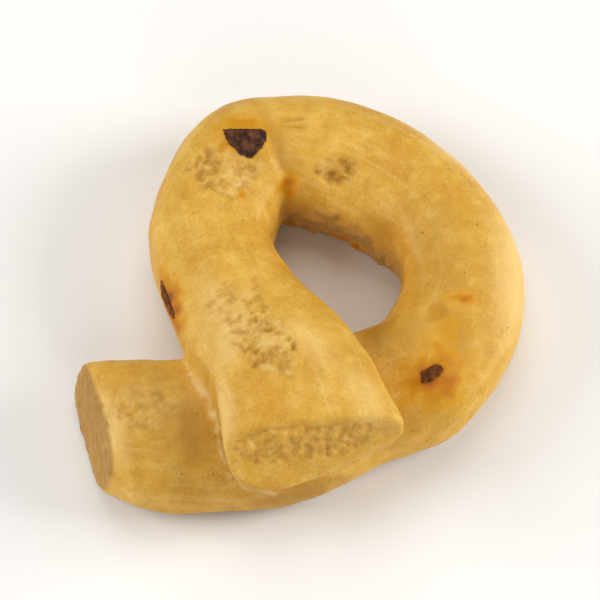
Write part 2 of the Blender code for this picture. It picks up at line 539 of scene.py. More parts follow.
# The swelling of the arm's outer side round the flake on it.
SWELLING = Patch((-21.0, -5.0, 10.5), (0.35, -0.93, 0.0), 7.0, 5.0)

# Where the arm's left side is drawn in above the crossing.
HOLLOW = Patch((-16.2, -19.5, 14.0), (0.4, -0.9, 0.15), 9.0, 5.0)

# Where bubbles broke the crust open: twice on the arm, then on the lobe, the arc and the lower end.
PORE_PATCHES = (
    Patch((-12.8, -9.4, 17.2), (0.6, -0.78, 0.19), 5.6, 3.8, 0.65),
    Patch((-8.9, -15.0, 19.0), (0.5, -0.86, 0.1), 6.8, 3.6),
    Patch((-14.0, 11.6, 14.2), (1.0, 0.0, 0.0), 4.8, 4.4, 0.9),
    Patch((0.1, 12.2, 13.3), (1.0, 0.2, 0.0), 3.0, 2.5, 0.75),
    Patch((-24.8, -20.4, 11.8), (1.0, 0.0, 0.0), 5.0, 3.6, 0.7),
)

# The torn crumb of the upper cut.
CRUMB_FACE = Patch((-3.8, -27.4, 15.9), (1.0, 0.06, 0.0), 8.9, 2.8, squareness=3.5)

# A shallow dimple on the ring's right side.
DIMPLE = Patch((12.3, -8.4, 13.4), (1.0, 0.0, 0.0), 1.6, 1.6)

# Where the seasoning's oil has stained the crust orange, round the flakes and in spots of its own. The last
# is scorched crust at the arc's foot.
STAINS = (
    Patch((12.2, -17.0, 12.4), (0.84, 0.54, 0.0), 6.6, 5.3, 0.82),
    Patch((11.5, -16.7, 12.4), (0.84, 0.54, 0.0), 4.4, 3.2, 0.98),
    Patch((-20.8, -6.3, 11.8), (0.35, -0.93, 0.05), 6.8, 3.0, 1.0),
    Patch((-11.5, 15.8, 15.2), (1.0, 0.0, 0.0), 4.8, 3.2, 0.6),
    Patch((-12.0, 18.0, 14.9), (1.0, 0.0, 0.0), 6.6, 2.4, 0.5),
    Patch((-12.3, -27.6, 15.5), (1.0, 0.0, 0.0), 1.4, 1.0, 0.35),
    Patch((-6.3, 11.4, 11.0), (0.0, 0.6, 0.8), 2.8, 1.5, 0.9),
    Patch((14.8, -6.4, 14.0), (1.0, 0.1, 0.0), 3.2, 1.0, 0.6),
    Patch((16.1, -6.5, 13.8), (1.0, 0.1, 0.0), 1.7, 1.0, 0.85),
    Patch((13.8, -11.3, 13.3), (-0.1, 1.0, 0.0), 4.5, 3.2, 0.33),
    Patch((-4.0, -4.5, 13.6), (0.38, -0.8, 0.4), 7.5, 1.8, 0.4),
    Patch((-11.8, 8.4, 13.6), (1.0, 0.0, 0.0), 1.0, 0.8, 0.6),
    Patch((12.3, -8.5, 13.4), (1.0, 0.0, 0.0), 2.0, 1.9, 0.22),
    Patch((10.2, -12.0, 12.9), (0.1, -1.0, 0.0), 4.8, 3.4, 0.14),
    Patch((2.6, 8.0, 3.4), (0.86, -0.5, 0.0), 6.5, 1.7, 1.0),
)

# Where the crust is darker, partly a deeper-baked tone and mostly painted shade: the lower end, most beside
# the arm and below its tip; the right side of the ring, most towards the hole; the dimple; and the crust
# about the arc's and the arm's pores.
DEEPER_AND_SHADE = (
    Patch((-19.0, -21.5, 11.0), (1.0, 0.0, 0.0), 11.0, 11.0, 0.38),
    Patch((-17.9, -23.3, 11.3), (0.3, -0.95, 0.0), 8.0, 4.0, 0.85),
    Patch((8.0, -2.0, 7.0), (0.0, 1.0, 0.0), 11.0, 5.5, 0.8),
    Patch((12.5, -1.0, 13.5), (-0.1, 1.0, 0.0), 15.0, 6.5, 0.4),
    Patch((5.5, -10.5, 12.5), (0.4, -0.9, 0.0), 6.0, 4.0, 0.5),
    Patch((9.0, -20.0, 8.5), (0.9, 0.4, 0.0), 9.5, 4.5, 0.7),
    Patch((-5.0, -28.8, 5.0), (1.0, 0.1, 0.0), 11.0, 4.0, 0.9),
    Patch((14.6, -11.6, 13.2), (0.4, -0.9, 0.0), 5.4, 3.6, 0.85),
    Patch((9.8, -11.5, 12.9), (0.1, -1.0, 0.0), 6.0, 4.4, 0.5),
    Patch((-0.4, 12.3, 13.1), (1.0, 0.1, 0.0), 3.4, 2.4, 0.5),
    Patch((12.3, -8.5, 13.4), (1.0, 0.0, 0.0), 2.6, 2.4, 1.0),
    Patch((5.8, 5.8, 10.0), (0.7, -0.7, 0.0), 4.0, 3.2, 0.65),
    Patch((-8.8, -15.6, 19.0), (0.3, -0.95, 0.1), 5.5, 2.2, 0.35),
)

# Where the crust is paler, a paler-baked tone with painted highlight: the ring's outer flank, both sides of
# the arm, the edge of the lower cut and the arc's outer flank.
PALER_AND_HIGHLIGHT = (
    Patch((22.6, -1.0, 10.0), (-0.02, 1.0, 0.0), 15.0, 6.5, 1.0),
    Patch((-14.2, -11.5, 16.5), (0.35, -0.93, 0.1), 11.5, 5.0, 0.5),
    Patch((-13.6, -14.5, 17.6), (0.1, -0.98, 0.05), 7.0, 3.0, 0.8),
    Patch((-14.2, -24.5, 17.2), (0.05, -1.0, -0.1), 6.5, 3.0, 0.85),
    Patch((-3.2, -15.5, 19.2), (0.6, -0.8, 0.0), 6.5, 3.2, 0.45),
    Patch((3.0, -22.5, 18.4), (0.5, -0.86, -0.1), 6.0, 3.2, 0.5),
    Patch((-28.0, -23.0, 10.5), (0.33, -0.94, -0.15), 8.0, 3.4, 0.75),
    Patch((14.5, 17.0, 10.5), (0.72, -0.69, 0.0), 10.0, 4.2, 0.75),
)

# The ragged brown foot of the arc's wall, where the dough caught on the tray; its brown is partly painted
# shade.
CAUGHT_FOOT = Patch((1.0, 8.6, 5.0), (0.88, -0.47, 0.0), 10.5, 5.5)

# Short cracks: two behind the fold and two among the arc's pores.
WRINKLES = (
    Wrinkle((-7.0, 19.2, 14.1), (-4.4, 19.7, 14.1), 0.45),
    Wrinkle((-6.9, 18.5, 14.3), (-4.2, 18.3, 14.3), 0.35),
    Wrinkle((-0.7, 11.6, 12.9), (0.1, 10.7, 12.4), 0.55),
    Wrinkle((0.7, 13.3, 13.6), (1.8, 12.1, 13.2), 0.55),
)

# The torn, pale edge where the arm was pressed down on the lower end, down its left side and round its tip.
TORN_EDGE_POINTS = (
    (-19.2, -12.4, 9.4),
    (-18.0, -16.2, 11.2),
    (-16.9, -18.2, 11.6),
    (-15.6, -21.0, 11.8),
    (-14.6, -24.2, 11.2),
    (-13.9, -26.7, 10.3),
    (-13.2, -28.5, 9.3),
    (-11.3, -29.8, 8.0),
    (-9.7, -29.9, 7.5),
    (-7.2, -30.0, 6.6),
)
TORN_EDGE_WIDTH = 0.45
TORN_EDGE = tuple(
    Wrinkle(start, end, TORN_EDGE_WIDTH) for start, end in zip(TORN_EDGE_POINTS, TORN_EDGE_POINTS[1:])
)

# The fading of a patch all the way from its middle to its edge.
WHOLE_PATCH = (0.0, 1.0)


@dataclass(frozen=True)
class CrustRelief:
    """How far the crust stands out from the even rope: rolling, dimples, grain, pores, folds and cracks."""

    rolling_depth: float = 0.42
    rolling_length: float = 10.0
    dimple_depth: float = 0.14
    dimple_length: float = 3.2
    dimple_shift: Triple = (7.0, 3.0, 5.0)
    grain_depth: float = 0.03
    grain_length: float = 0.9
    patch_sink: float = 0.12
    pore_depth: float = 0.5
    pore_length: float = 1.05
    pore_gain: float = 2.6
    fine_pore_length: float = 0.65
    fine_pore_share: float = 0.35
    pore_least: float = 0.25
    pore_patchy: tuple[float, float] = (-0.15, 0.25)
    pore_patch_length: float = 3.2
    patch_edge: tuple[float, float] = (0.7, 1.05)
    patch_rag: float = 0.45
    patch_rag_length: float = 1.8
    crumb_sink: float = 0.12
    crumb_depth: float = 0.38
    crumb_grain: Triple = (1.1, 1.5, 1.5)
    crumb_octaves: int = 3
    crumb_facing: tuple[float, float] = (0.2, 0.5)
    cut_facing: tuple[float, float] = (0.6, 0.9)
    cut_start_x: tuple[float, float] = (26.0, 28.0)
    cut_foot_share: float = 0.72
    cut_foot_z: tuple[float, float] = (1.0, 9.0)
    cut_depth: float = 0.22
    cut_length: float = 1.6
    cut_octaves: int = 3
    crumb_edge: tuple[float, float] = (0.9, 1.02)
    crumb_rag: float = 0.1
    bed_rise: float = 0.2
    bed_edge: tuple[float, float] = (0.8, 1.6)
    dimple_edge: tuple[float, float] = (0.2, 1.2)
    dimple_mark_depth: float = 0.3
    crack_depth: float = 0.45
    swelling_height: float = 0.8
    hollow_depth: float = 1.0
    hollow_facing: tuple[float, float] = (0.2, 0.6)
    hollow_foot_z: tuple[float, float] = (11.2, 12.4)
    fold_x: float = -7.2
    fold_bend: float = 0.35
    fold_bend_y: float = 12.0
    fold_wobble: float = 0.5
    fold_start_y: float = 6.0
    fold_fade_y: tuple[float, float] = (17.5, 22.5)
    fold_foot_z: float = 2.0
    fold_step: float = 0.6
    fold_lip: float = 0.45
    fold_lip_reach: float = 3.0
    fold_sink: float = 0.8
    fold_sink_reach: float = 2.4
    foot_rise: float = 0.8
    foot_rag: float = 3.0
    foot_rag_length: float = 1.9
    foot_octaves: int = 2
    foot_edge: tuple[float, float] = (0.7, 1.0)
    foot_top_z: tuple[float, float] = (6.0, 9.5)
    torn_rise: float = 0.2
    torn_length: float = 1.0
    torn_breaks: tuple[float, float] = (-0.45, 0.3)

    def open_patch(self, point: Vector) -> float:
        """How far a point is inside any of the patches of pores, whose edges are ragged."""
        ragged = self.patch_rag * noise.noise(point / self.patch_rag_length)
        return max(patch.share(point, self.patch_edge, ragged) for patch in PORE_PATCHES)

    def pores(self, point: Vector) -> float:
        """How deep a point lies between the ridges of the blistered crust.

        Args:
            point: A point of the even rope.

        Returns:
            From 0 on a ridge, or outside the patches, to 1 in a pore.
        """
        inside = self.open_patch(point)
        if inside == 0.0:
            return 0.0
        coarse = abs(noise.noise(point / self.pore_length))
        fine = abs(noise.noise(point / self.fine_pore_length))
        ridged = coarse + self.fine_pore_share * (fine - coarse)
        thick = fade(noise.noise(point / self.pore_patch_length), *self.pore_patchy)
        patchy = self.pore_least + (1 - self.pore_least) * thick
        return inside * patchy * min(self.pore_gain * ridged, 1.0)

    def crumb(self, point: Vector, normal: Vector) -> float:
        """How far a point belongs to the torn crumb of the upper cut, from 0 on the crust to 1."""
        ragged = self.crumb_rag * noise.noise(point / self.grain_length)
        return fade(-normal.y, *self.crumb_facing) * CRUMB_FACE.share(point, self.crumb_edge, ragged)

    def lower_cut(self, point: Vector, normal: Vector) -> float:
        """How far a point belongs to the face of the lower cut, from 0 to 1, less towards its foot."""
        foot = self.cut_foot_share + (1 - self.cut_foot_share) * fade(point.z, *self.cut_foot_z)
        return fade(-normal.x, *self.cut_facing) * foot * fade(-point.x, *self.cut_start_x)

    def crack(self, point: Vector) -> float:
        """How close a point is to one of the short cracks, from 0 to 1."""
        return max(wrinkle.closeness(point) for wrinkle in WRINKLES)

    def torn(self, point: Vector) -> float:
        """The torn crumb, whose grain runs down the cut.

        Args:
            point: A point of the even rope.

        Returns:
            Its depth in millimetres.
        """
        across, along, down = self.crumb_grain
        grain = Vector((point.x / across, point.y / along, point.z / down))
        return self.crumb_sink + self.crumb_depth * noise.turbulence(grain, self.crumb_octaves, False)

    def off_fold(self, point: Vector) -> tuple[float, float]:
        """Where a point is from the fold between the lobe on the left and the arc.

        Args:
            point: A point of the even rope.

        Returns:
            The distance from the fold's line, negative on the lobe, and the fold's strength there.
        """
        if point.y < self.fold_start_y or point.z < self.fold_foot_z:
            return 0.0, 0.0
        bend = self.fold_bend * max(point.y - self.fold_bend_y, 0.0)
        wobble = self.fold_wobble * noise.noise(point / self.dimple_length)
        return point.x - self.fold_x + bend + wobble, 1 - fade(point.y, *self.fold_fade_y)

    def fold(self, point: Vector) -> float:
        """The step where the lobe on the left overlaps the arc.

        Args:
            point: A point of the even rope.

        Returns:
            The height of the lobe's raised lip, or of the sunk line beside it, which is negative.
        """
        off_line, strength = self.off_fold(point)
        step = -strength * math.tanh(off_line / self.fold_step)
        if off_line < 0:
            return step * self.fold_lip * math.exp(off_line / self.fold_lip_reach)
        return step * self.fold_sink * math.exp(-off_line / self.fold_sink_reach)

    def beside_fold(self, point: Vector) -> float:
        """How close a point is to the fold on the arc's side of it, from 0 to 1."""
        return max(-self.fold(point) / self.fold_sink, 0.0)

    def foot(self, point: Vector) -> float:
        """How far a point belongs to the ragged foot of the arc's wall, from 0 to 1."""
        height = point.z + self.foot_rag * noise.noise(point / self.foot_rag_length)
        return CAUGHT_FOOT.share(point, self.foot_edge) * (1 - fade(height, *self.foot_top_z))

    def dimple(self, point: Vector) -> float:
        """How far a point is inside the dimple on the ring, from 0 to 1."""
        return DIMPLE.share(point, self.dimple_edge)

    def torn_edge(self, point: Vector) -> float:
        """How close a point is to the torn edge below the arm, from 0 to 1, broken up along it."""
        closest = max(tear.closeness(point) for tear in TORN_EDGE)
        return closest * fade(noise.noise(point / self.torn_length), *self.torn_breaks)

    def bed(self, point: Vector) -> float:
        """The rise of the crust round a flake."""
        return self.bed_rise * max(bed.share(point, self.bed_edge) for bed in FLAKE_BEDS)

    def hollow(self, point: Vector, normal: Vector) -> float:
        """How far a point is inside the hollow of the arm's left side, from 0 to 1."""
        facing = fade(-normal.x, *self.hollow_facing)
        return HOLLOW.share(point, WHOLE_PATCH) * facing * fade(point.z, *self.hollow_foot_z)

    def height(self, point: Vector, normal: Vector) -> float:
        """How far the crust stands out at a point.

        Args:
            point: A point of the even rope.
            normal: The skin's direction there.

        Returns:
            Millimetres outwards, negative inwards.
        """
        rolling = self.rolling_depth * noise.noise(point / self.rolling_length)
        dimples = self.dimple_depth * noise.noise(point / self.dimple_length + Vector(self.dimple_shift))
        grain = self.grain_depth * noise.noise(point / self.grain_length)
        cracks = self.crack_depth * self.crack(point)
        mark = self.dimple_mark_depth * self.dimple(point)
        sunk = self.patch_sink * self.open_patch(point)
        crumb = self.crumb(point, normal) * self.torn(point)
        cut = self.lower_cut(point, normal)
        cut *= self.cut_depth * noise.turbulence(point / self.cut_length, self.cut_octaves, False)
        hollow = self.hollow_depth * self.hollow(point, normal)
        inwards = sunk + self.pore_depth * self.pores(point) + crumb + cut + cracks + mark + hollow
        foot = self.foot_rise * self.foot(point)
        foot *= noise.turbulence(point / self.foot_rag_length, self.foot_octaves, True)
        outwards = self.bed(point) + foot + self.torn_rise * self.torn_edge(point)
        outwards += self.swelling_height * SWELLING.share(point, WHOLE_PATCH)
        return rolling + dimples + grain + self.fold(point) + outwards - inwards


@dataclass(frozen=True)
class Baking:
    """What the oven, the tray and the seasoning's oil did to the crust's colour, with painted shade and
    highlight.
    """

    relief: CrustRelief
    tray_z: tuple[float, float] = (0.4, 2.4)
    tray_rag: float = 1.2
    tray_rag_length: float = 1.3
    # Painted shade on faces that turn down.
    under_shade_share: float = 0.5
    under_shade_facing: tuple[float, float] = (0.1, 0.9)
    # The foot of the arc's wall is browned partly with painted shade.
    foot_share: float = 0.7
    # Painted shade down the dimple.
    dimple_share: float = 0.8
    patch_edge: tuple[float, float] = (0.2, 1.0)
    # How ragged the darker patches of painted shade are, and how long the waves of that raggedness are.
    deeper_and_shade_rag: float = 0.25
    deeper_and_shade_rag_length: float = 2.0
    stain_edge: tuple[float, float] = (0.0, 1.15)
    # How far each of two noises breaks up the stains' outline, and how long its waves are.
    stain_rags: tuple[tuple[float, float], ...] = ((0.35, 1.5), (0.12, 0.5))

    def toast_and_shade(self, point: Vector, normal: Vector) -> float:
        """How brown the crust is at a point: toast where it sat on the tray, painted shade where it faces
        down.

        Args:
            point: A point of the even rope.
            normal: The skin's direction there.

        Returns:
            From 0 for golden to 1 for brown.
        """
        height = point.z + self.tray_rag * noise.noise(point / self.tray_rag_length)
        tray = 1 - fade(height, *self.tray_z)
        under = self.under_shade_share * fade(-normal.z, *self.under_shade_facing)
        return min(max(tray, under, self.foot_share * self.relief.foot(point)), 1.0)

    def deeper_and_shade(self, point: Vector) -> float:
        """How much darker the crust is at a point: a deeper-baked tone and painted shade.

        Args:
            point: A point of the even rope.

        Returns:
            From 0 to 1, in ragged patches and beside the fold, where it is painted shade in the crease.
        """
        ragged = self.deeper_and_shade_rag * noise.noise(point / self.deeper_and_shade_rag_length)
        patches = max(patch.share(point, self.patch_edge, ragged) for patch in DEEPER_AND_SHADE)
        return max(patches, self.relief.beside_fold(point))

    def paler_and_highlight(self, point: Vector) -> float:
        """How much paler the crust is at a point, from 0 to 1: a paler-baked tone and painted highlight."""
        return max(patch.share(point, self.patch_edge) for patch in PALER_AND_HIGHLIGHT)

    def stain(self, point: Vector) -> float:
        """How much oil of the seasoning has stained the crust at a point, from 0 to 1."""
        ragged = sum(rag * noise.noise(point / length) for rag, length in self.stain_rags)
        return max(patch.share(point, self.stain_edge, ragged) for patch in STAINS)

    def pit(self, point: Vector) -> float:
        """How far a point is down a pore, a crack or the dimple, from 0 to 1."""
        pore, crack = self.relief.pores(point), self.relief.crack(point)
        return max(pore, crack, self.dimple_share * self.relief.dimple(point))


class CentreLine:
    """The rope's centre line, sampled closely, for finding a point's place along the rope."""

    def __init__(self, form: RopeForm, samples_per_station: int) -> None:
        """Samples the line.

        Args:
            form: The rope.
            samples_per_station: How many samples there are from one station to the next.
        """
        count = (len(form.stations) - 1) * samples_per_station
        self.tree = KDTree(count + 1)
        self.samples = []
        travelled = 0.0
        for number in range(count + 1):
            position = number / samples_per_station
            centre = form.at(position)[0]
            if self.samples:
                travelled += (centre - self.samples[-1][1]).length
            self.samples.append((travelled, centre, *form.axes(position)[1:]))
            self.tree.insert(centre, number)
        self.tree.balance()

    def place(self, point: Vector) -> Vector:
        """Where a point is from the line.

        Args:
            point: A point of the even rope.

        Returns:
            Its distance along the rope, and sideways and upward from the line, in millimetres.
        """
        travelled, centre, sideways, upward = self.samples[self.tree.find(point)[1]]
        offset = point - centre
        return Vector((travelled, offset.dot(sideways), offset.dot(upward)))


@dataclass
class BakedPiece:
    """What is modelled as one piece and takes one finish."""

    piece: bpy.types.Object = field(init=False)

    def dress(self, material: bpy.types.Material) -> None:
        """Gives the piece its finish."""
        self.piece.data.materials.clear()
        self.piece.data.materials.append(material)


@dataclass
class Dough(BakedPiece):
    """The rope of dough: one closed skin, fused where its ends cross, with the crust's relief."""

    name: str = "dough"
    form: RopeForm = field(default_factory=RopeForm)
    relief: CrustRelief = field(default_factory=CrustRelief)
    pressing: float = 0.15
    voxel: float = 0.32
    softening: int = 3
    base_trim: float = 0.55
    samples_per_station: int = 30
    shift: Vector = field(init=False)

    def sweep(self) -> bpy.types.Object:
        """Extrudes a disc of dough section by section along the rope.

        Returns:
            A closed tube that still passes through itself where its ends cross.
        """
        rings = self.form.rings()
        bpy.ops.object.select_all(action="DESELECT")
        bpy.ops.mesh.primitive_circle_add(vertices=self.form.points_round, radius=MM, fill_type="NGON")
        rope = bpy.context.active_object
        rope.name = self.name
        place = rope.data.attributes.new(PLACE_IN_RING, "INT", "POINT")
        place.data.foreach_set("value", range(self.form.points_round))
        with editing(rope):
            bpy.ops.mesh.select_all(action="SELECT")
            self.shape_disc(rope, rings[0])
            for ring in rings[1:]:
                bpy.ops.mesh.extrude_region_move()
                self.shape_disc(rope, ring)
            bpy.ops.mesh.select_all(action="SELECT")
            bpy.ops.mesh.normals_make_consistent(inside=False)
        return rope

    def shape_disc(self, rope: bpy.types.Object, ring: list[Vector]) -> None:
        """Moves the selected disc's rim onto a section of the rope.

        Args:
            rope: The object in edit mode.
            ring: The section's points, in order round it.
        """
        mesh = bmesh.from_edit_mesh(rope.data)
        place = mesh.verts.layers.int[PLACE_IN_RING]
        for vert in mesh.verts:
            if vert.select:
                vert.co = ring[vert[place]] * MM
        bmesh.update_edit_mesh(rope.data)

    def fuse(self, rope: bpy.types.Object) -> None:
        """Makes one skin of the rope and fills what it seals in, so that the crossing is a solid join.

        Args:
            rope: The swept rope.
        """
        press = self.pressing * MM
        finish_with(rope, "DISPLACE", mid_level=0.0, strength=press)
        finish_with(rope, "REMESH", mode="VOXEL", voxel_size=self.voxel * MM)
        finish_with(rope, "DISPLACE", mid_level=0.0, strength=-press)
        finish_with(rope, "SMOOTH", iterations=self.softening)
        with editing(rope):
            mesh = bmesh.from_edit_mesh(rope.data)
            max(mesh.verts, key=lambda vert: vert.co.x).select_set(True)
            bpy.ops.mesh.select_linked()
            bpy.ops.mesh.select_all(action="INVERT")
            bpy.ops.mesh.delete(type="VERT")

    def roughen(self, rope: bpy.types.Object) -> None:
        """Moves the skin in and out along its normals and records what shows where.

        Args:
            rope: The fused rope.
        """
        mesh = rope.data
        normals = [normal.vector.copy() for normal in mesh.vertex_normals]
        points = [vert.co / MM for vert in mesh.vertices]
        self.mark(mesh, points, normals)
        for vert, point, normal in zip(mesh.vertices, points, normals):
            vert.co = (point + normal * self.relief.height(point, normal)) * MM

    def mark(self, mesh: bpy.types.Mesh, points: list[Vector], normals: list[Vector]) -> None:
        """Records the toast and painted shade, the darker and paler patches of painted shade and highlight,
        pores, stains, crumb and way along the rope at each point of the skin.

        Args:
            mesh: The skin's mesh.
            points: Its points, in millimetres.
            normals: Their normals.
        """
        relief = self.relief
        baking = Baking(relief)
        # Besides toast, pores, stains and crumb, the marks carry painted light: darker patches of painted
        # shade, paler patches of painted highlight, and painted shade on faces turned down.
        by_place = {
            Mark.DEEPER_AND_SHADE: baking.deeper_and_shade,
            Mark.PALER_AND_HIGHLIGHT: baking.paler_and_highlight,
            Mark.PIT: baking.pit,
            Mark.STAIN: baking.stain,
            Mark.TORN: relief.torn_edge,
            Mark.OPEN: relief.open_patch,
        }
        by_facing = {Mark.TOAST_AND_SHADE: baking.toast_and_shade, Mark.CRUMB: relief.crumb, Mark.CUT: relief.lower_cut}
        marks = {mark: [measure(point) for point in points] for mark, measure in by_place.items()}
        for mark, measure in by_facing.items():
            marks[mark] = [measure(point, normal) for point, normal in zip(points, normals)]
        for mark, values in marks.items():
            mesh.attributes.new(mark.value, "FLOAT", "POINT").data.foreach_set("value", values)
        line = CentreLine(self.form, self.samples_per_station)
        ways = [value for point in points for value in line.place(point)]
        mesh.attributes.new(Mark.ROPE.value, "FLOAT_VECTOR", "POINT").data.foreach_set("vector", ways)

    def settle(self, rope: bpy.types.Object) -> None:
        """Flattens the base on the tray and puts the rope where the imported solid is, inside its box.

        Args:
            rope: The roughened rope.
        """
        low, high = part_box(SOLID)
        points = [vert.co.copy() for vert in rope.data.vertices]
        least = Vector(min(point[axis] for point in points) for axis in range(3))
        most = Vector(max(point[axis] for point in points) for axis in range(3))
        base = least.z + self.base_trim * MM
        middle = (least + most) / 2
        self.shift = Vector(((low.x + high.x) / 2 - middle.x, (low.y + high.y) / 2 - middle.y, -base))
        for name, span in (("rope", most - least), ("solid", high - low)):
            LOG.info("%s: %.2f x %.2f x %.2f mm", name, *(span / MM))
        for vert, point in zip(rope.data.vertices, points):
            placed = point + self.shift
            vert.co = [min(max(value, start), end) for value, start, end in zip(placed, low, high)]

    def build(self) -> bpy.types.Object:
        """Models the dough.

        Returns:
            The piece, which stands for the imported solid.
        """
        rope = self.sweep()
        self.fuse(rope)
        self.roughen(rope)
        self.settle(rope)
        pick(rope)
        bpy.ops.object.shade_smooth()
        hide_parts(SOLID)
        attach(rope, BODY)
        self.piece = rope
        return rope


@dataclass(frozen=True)
class Tint:
    """A colour laid over another where a value runs from start to end, up to a share of most."""

    colour: str
    start: float
    end: float
    most: float = 1.0


@dataclass(frozen=True)
class Pattern:
    """A noise on the crust: how many millimetres its features are across, its detail and its tints."""

    size_mm: float
    detail: float
    tints: tuple[Tint, ...]


def lay_tint(
    tree: bpy.types.NodeTree,
    colour: tuple[float, float, float, float] | bpy.types.NodeSocket,
    tint: Tint,
    value: bpy.types.NodeSocket,
    within: bpy.types.NodeSocket | None = None,
) -> bpy.types.NodeSocket:
    """Lays a tint over a colour.

    Args:
        tree: The material's node tree.
        colour: The colour below.
        tint: The tint.
        value: What the tint follows.
        within: What holds the tint back, if anything does.

    Returns:
        The new colour.
    """
    share = add_node(
        tree,
        "ShaderNodeMapRange",
        {"Value": value, "From Min": tint.start, "From Max": tint.end, "To Max": tint.most},
    ).outputs[0]
    if within is not None:
        share = add_node(tree, "ShaderNodeMath", {0: share, 1: within}, operation="MULTIPLY").outputs[0]
    return add_node(
        tree,
        "ShaderNodeMix",
        {MIX_FACTOR: share, MIX_A: colour, MIX_B: linear(tint.colour)},
        data_type="RGBA",
    ).outputs[MIX_RESULT]


